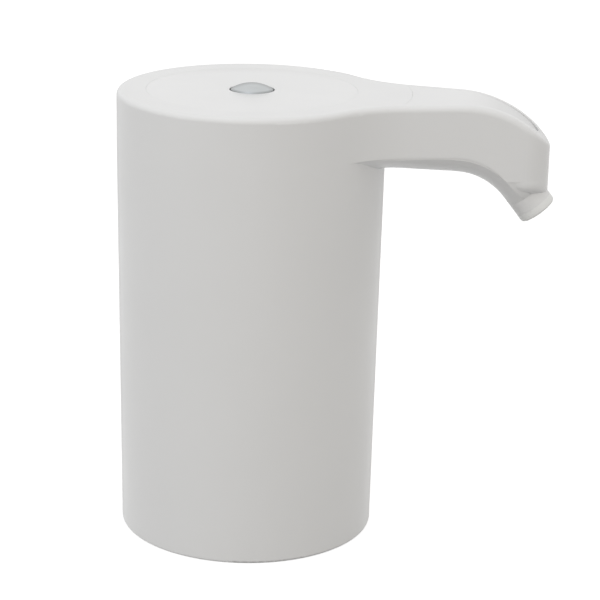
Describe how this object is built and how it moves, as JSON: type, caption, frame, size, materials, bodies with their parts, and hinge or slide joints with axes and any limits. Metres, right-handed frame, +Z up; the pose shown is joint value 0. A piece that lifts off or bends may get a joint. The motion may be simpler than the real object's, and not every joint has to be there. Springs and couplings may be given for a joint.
{
  "type": "bottled water pump",
  "caption": "Upright cylindrical battery pump that grips a water bottle's neck, with a push button on its flat top and a side arm ending in a downturned round nozzle.",
  "frame": {"origin": "on the axis of the bottle neck socket, at the lower rim of the body", "axes": "+X along the spout arm, +Z up along the body's axis, +Y across the arm"},
  "size_m": [0.1205, 0.074, 0.1273],
  "materials": {
    "housing_white": "satin gloss moulded ABS",
    "cover_white": "satin gloss moulded ABS",
    "nozzle_white": "satin moulded plastic",
    "button_silver": "brushed and clear coated",
    "silicone_clear": "translucent food-safe silicone",
    "frame_plastic": "matte moulded ABS",
    "cell_wrap": "shrink wrap over a steel can",
    "nickel": "plated strip",
    "board_green": "solder mask on glass fibre",
    "black_plastic": "moulded",
    "led_lens": "clear lens",
    "steel": "zinc plated",
    "magnet": "sintered ferrite",
    "copper": "enamelled wire and copper bars",
    "pump_plastic": "moulded POM",
    "gear_plastic": "moulded POM",
    "base_plastic": "matte moulded ABS"
  },
  "bodies": {
    "housing": {"outer_shell": "housing_white", "top_cover": "cover_white", "spout_lid": "cover_white", "nozzle": "nozzle_white", "outlet_tube": "silicone_clear", "inlet_tube": "silicone_clear", "base_plate": "base_plastic", "neck_ring": "silicone_clear", "inner_frame": "frame_plastic", "battery_cell": "cell_wrap", "cell_tabs": "nickel", "control_board": "board_green", "board_parts": "black_plastic", "switch_body": "black_plastic", "status_led": "led_lens", "charging_socket": "steel", "motor_can": "steel", "motor_end_cap": "black_plastic", "motor_terminals": "nickel", "motor_brushes": "copper", "motor_magnets": "magnet", "pump_body": "pump_plastic", "pump_gasket": "silicone_clear", "pump_cover": "pump_plastic", "shaft_seal": "silicone_clear", "idler_pin": "steel", "base_screws": "steel", "frame_screws": "steel", "board_screws": "steel", "pump_screws": "steel"},
    "button": {"button_cap": "button_silver"},
    "plunger": {"switch_plunger": "black_plastic"},
    "rotor": {"motor_shaft": "steel", "armature_core": "steel", "armature_coils": "copper", "commutator": "copper", "drive_gear": "gear_plastic"},
    "idler": {"idler_gear": "gear_plastic"}
  },
  "joints": [
    {"name": "button_press", "type": "slide", "parent": "housing", "child": "button", "axis": [0, 0, -1], "range_m": [0, 0.0005], "stiffness_N_per_m": 2600, "springref_m": -0.0003},
    {"name": "plunger_press", "type": "slide", "parent": "housing", "child": "plunger", "axis": [0, 0, -1], "range_m": [0, 0.0005]},
    {"name": "rotor_spin", "type": "hinge", "parent": "housing", "child": "rotor", "pos_m": [0.0063, -0.00625, 0.0555], "axis": [0, 0, 1], "continuous": true},
    {"name": "idler_spin", "type": "hinge", "parent": "housing", "child": "idler", "pos_m": [0.0063, 0.00625, 0.0555], "axis": [0, 0, 1], "continuous": true}
  ],
  "couplings": [
    {"joint": "plunger_press", "follows": "button_press", "ratio": 1},
    {"joint": "idler_spin", "follows": "rotor_spin", "ratio": -1}
  ]
}
